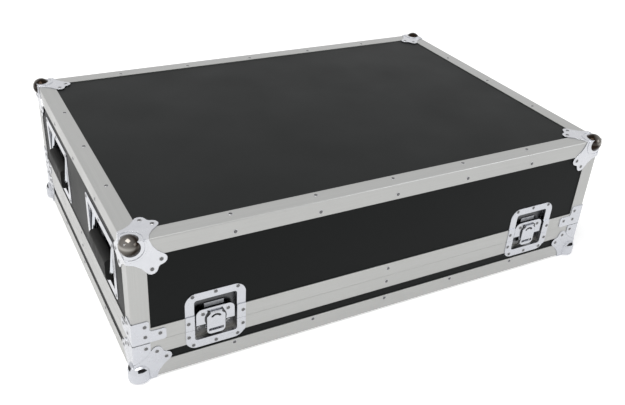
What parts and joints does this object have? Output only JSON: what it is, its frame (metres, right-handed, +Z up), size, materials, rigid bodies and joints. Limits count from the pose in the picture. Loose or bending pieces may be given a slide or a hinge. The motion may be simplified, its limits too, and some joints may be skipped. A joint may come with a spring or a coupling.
{
  "type": "flight case for a mixing desk",
  "caption": "Closed plywood flight case in aluminium edging, with a lift-off lid, turning butterfly latches, ball and stacking corners and recessed spring handles.",
  "frame": {"origin": "centre of the case, on the surface it stands on", "axes": "+X to the right along the long front, +Y to the back, +Z up; the front with two latches faces -Y"},
  "size_m": [0.965, 0.669, 0.2782],
  "materials": {
    "laminate": "matt black laminate on plywood",
    "foam": "open-cell foam",
    "grip_rubber": "matt",
    "edging": "satin anodised",
    "corner_plating": "bright",
    "rivets": "satin",
    "spring_steel": "plain",
    "bail_plating": "zinc plated",
    "zinc_steel": "zinc plated"
  },
  "bodies": {
    "base": {"base_bottom_panel": "laminate", "base_front_panel": "laminate", "base_back_panel": "laminate", "base_left_panel": "laminate", "base_right_panel": "laminate", "base_bottom_edges": "edging", "base_groove_rails": "edging", "base_corner_posts": "edging", "base_corner_braces": "zinc_steel", "stacking_corners": "zinc_steel", "base_rivets": "rivets", "base_foam_floor": "foam", "base_foam_walls": "foam", "lower_dish_front_left": "zinc_steel", "lower_dish_front_right": "zinc_steel", "lower_dish_back_left": "zinc_steel", "lower_dish_back_right": "zinc_steel"},
    "lid": {"lid_top_panel": "laminate", "lid_front_panel": "laminate", "lid_back_panel": "laminate", "lid_left_panel": "laminate", "lid_right_panel": "laminate", "lid_top_edges": "edging", "lid_tongue_rails": "edging", "lid_corner_posts": "edging", "lid_corner_braces": "zinc_steel", "ball_corners": "corner_plating", "lid_rivets": "rivets", "lid_foam_roof": "foam", "lid_foam_walls": "foam", "latch_covers": "zinc_steel", "handle_dishes": "zinc_steel", "handle_springs": "spring_steel", "upper_dish_front_left": "zinc_steel", "upper_dish_front_right": "zinc_steel", "upper_dish_back_left": "zinc_steel", "upper_dish_back_right": "zinc_steel"},
    "latch_front_left": {"turner_front_left": "zinc_steel"},
    "wing_front_left": {"wing_front_left": "zinc_steel"},
    "hook_front_left": {"hook_front_left": "zinc_steel"},
    "handle_front_left": {"bail_front_left": "bail_plating", "grip_front_left": "grip_rubber"},
    "latch_front_right": {"turner_front_right": "zinc_steel"},
    "wing_front_right": {"wing_front_right": "zinc_steel"},
    "hook_front_right": {"hook_front_right": "zinc_steel"},
    "handle_front_right": {"bail_front_right": "bail_plating", "grip_front_right": "grip_rubber"},
    "latch_back_left": {"turner_back_left": "zinc_steel"},
    "wing_back_left": {"wing_back_left": "zinc_steel"},
    "hook_back_left": {"hook_back_left": "zinc_steel"},
    "handle_back_left": {"bail_back_left": "bail_plating", "grip_back_left": "grip_rubber"},
    "latch_back_right": {"turner_back_right": "zinc_steel"},
    "wing_back_right": {"wing_back_right": "zinc_steel"},
    "hook_back_right": {"hook_back_right": "zinc_steel"},
    "handle_back_right": {"bail_back_right": "bail_plating", "grip_back_right": "grip_rubber"}
  },
  "joints": [
    {"name": "lid_lift", "type": "slide", "parent": "base", "child": "lid", "axis": [0, 0, 1], "range_m": [0, 0.25]},
    {"name": "latch_turn_front_left", "type": "hinge", "parent": "lid", "child": "latch_front_left", "pos_m": [-0.334, -0.3255, 0.09], "axis": [0, -1, 0], "range_deg": [0, 180]},
    {"name": "wing_fold_front_left", "type": "hinge", "parent": "latch_front_left", "child": "wing_front_left", "pos_m": [-0.334, -0.3261, 0.104], "axis": [-1, 0, 0], "range_deg": [0, 90]},
    {"name": "hook_draw_front_left", "type": "slide", "parent": "lid", "child": "hook_front_left", "axis": [0, 0.3511, 0.9363], "range_m": [0, 0.00854]},
    {"name": "handle_swing_front_left", "type": "hinge", "parent": "lid", "child": "handle_front_left", "pos_m": [-0.466, -0.1615, 0.1987], "axis": [0, 1, 0], "range_deg": [0, 90], "stiffness_Nm_per_rad": 0.35, "springref_deg": -34.38},
    {"name": "latch_turn_front_right", "type": "hinge", "parent": "lid", "child": "latch_front_right", "pos_m": [0.334, -0.3255, 0.09], "axis": [0, -1, 0], "range_deg": [0, 180]},
    {"name": "wing_fold_front_right", "type": "hinge", "parent": "latch_front_right", "child": "wing_front_right", "pos_m": [0.334, -0.3261, 0.104], "axis": [-1, 0, 0], "range_deg": [0, 90]},
    {"name": "hook_draw_front_right", "type": "slide", "parent": "lid", "child": "hook_front_right", "axis": [0, 0.3511, 0.9363], "range_m": [0, 0.00854]},
    {"name": "handle_swing_front_right", "type": "hinge", "parent": "lid", "child": "handle_front_right", "pos_m": [0.466, -0.1615, 0.1987], "axis": [0, -1, 0], "range_deg": [0, 90], "stiffness_Nm_per_rad": 0.35, "springref_deg": -34.38},
    {"name": "latch_turn_back_left", "type": "hinge", "parent": "lid", "child": "latch_back_left", "pos_m": [-0.334, 0.3255, 0.09], "axis": [0, 1, 0], "range_deg": [0, 180]},
    {"name": "wing_fold_back_left", "type": "hinge", "parent": "latch_back_left", "child": "wing_back_left", "pos_m": [-0.334, 0.3261, 0.104], "axis": [1, 0, 0], "range_deg": [0, 90]},
    {"name": "hook_draw_back_left", "type": "slide", "parent": "lid", "child": "hook_back_left", "axis": [0, -0.3511, 0.9363], "range_m": [0, 0.00854]},
    {"name": "handle_swing_back_left", "type": "hinge", "parent": "lid", "child": "handle_back_left", "pos_m": [-0.466, 0.1615, 0.1987], "axis": [0, 1, 0], "range_deg": [0, 90], "stiffness_Nm_per_rad": 0.35, "springref_deg": -34.38},
    {"name": "latch_turn_back_right", "type": "hinge", "parent": "lid", "child": "latch_back_right", "pos_m": [0.334, 0.3255, 0.09], "axis": [0, 1, 0], "range_deg": [0, 180]},
    {"name": "wing_fold_back_right", "type": "hinge", "parent": "latch_back_right", "child": "wing_back_right", "pos_m": [0.334, 0.3261, 0.104], "axis": [1, 0, 0], "range_deg": [0, 90]},
    {"name": "hook_draw_back_right", "type": "slide", "parent": "lid", "child": "hook_back_right", "axis": [0, -0.3511, 0.9363], "range_m": [0, 0.00854]},
    {"name": "handle_swing_back_right", "type": "hinge", "parent": "lid", "child": "handle_back_right", "pos_m": [0.466, 0.1615, 0.1987], "axis": [0, -1, 0], "range_deg": [0, 90], "stiffness_Nm_per_rad": 0.35, "springref_deg": -34.38}
  ],
  "couplings": [
    {"joint": "latch_turn_front_left", "follows": "hook_draw_front_left", "rad_per_m": 367.6},
    {"joint": "latch_turn_front_right", "follows": "hook_draw_front_right", "rad_per_m": 367.6},
    {"joint": "latch_turn_back_left", "follows": "hook_draw_back_left", "rad_per_m": 367.6},
    {"joint": "latch_turn_back_right", "follows": "hook_draw_back_right", "rad_per_m": 367.6}
  ]
}
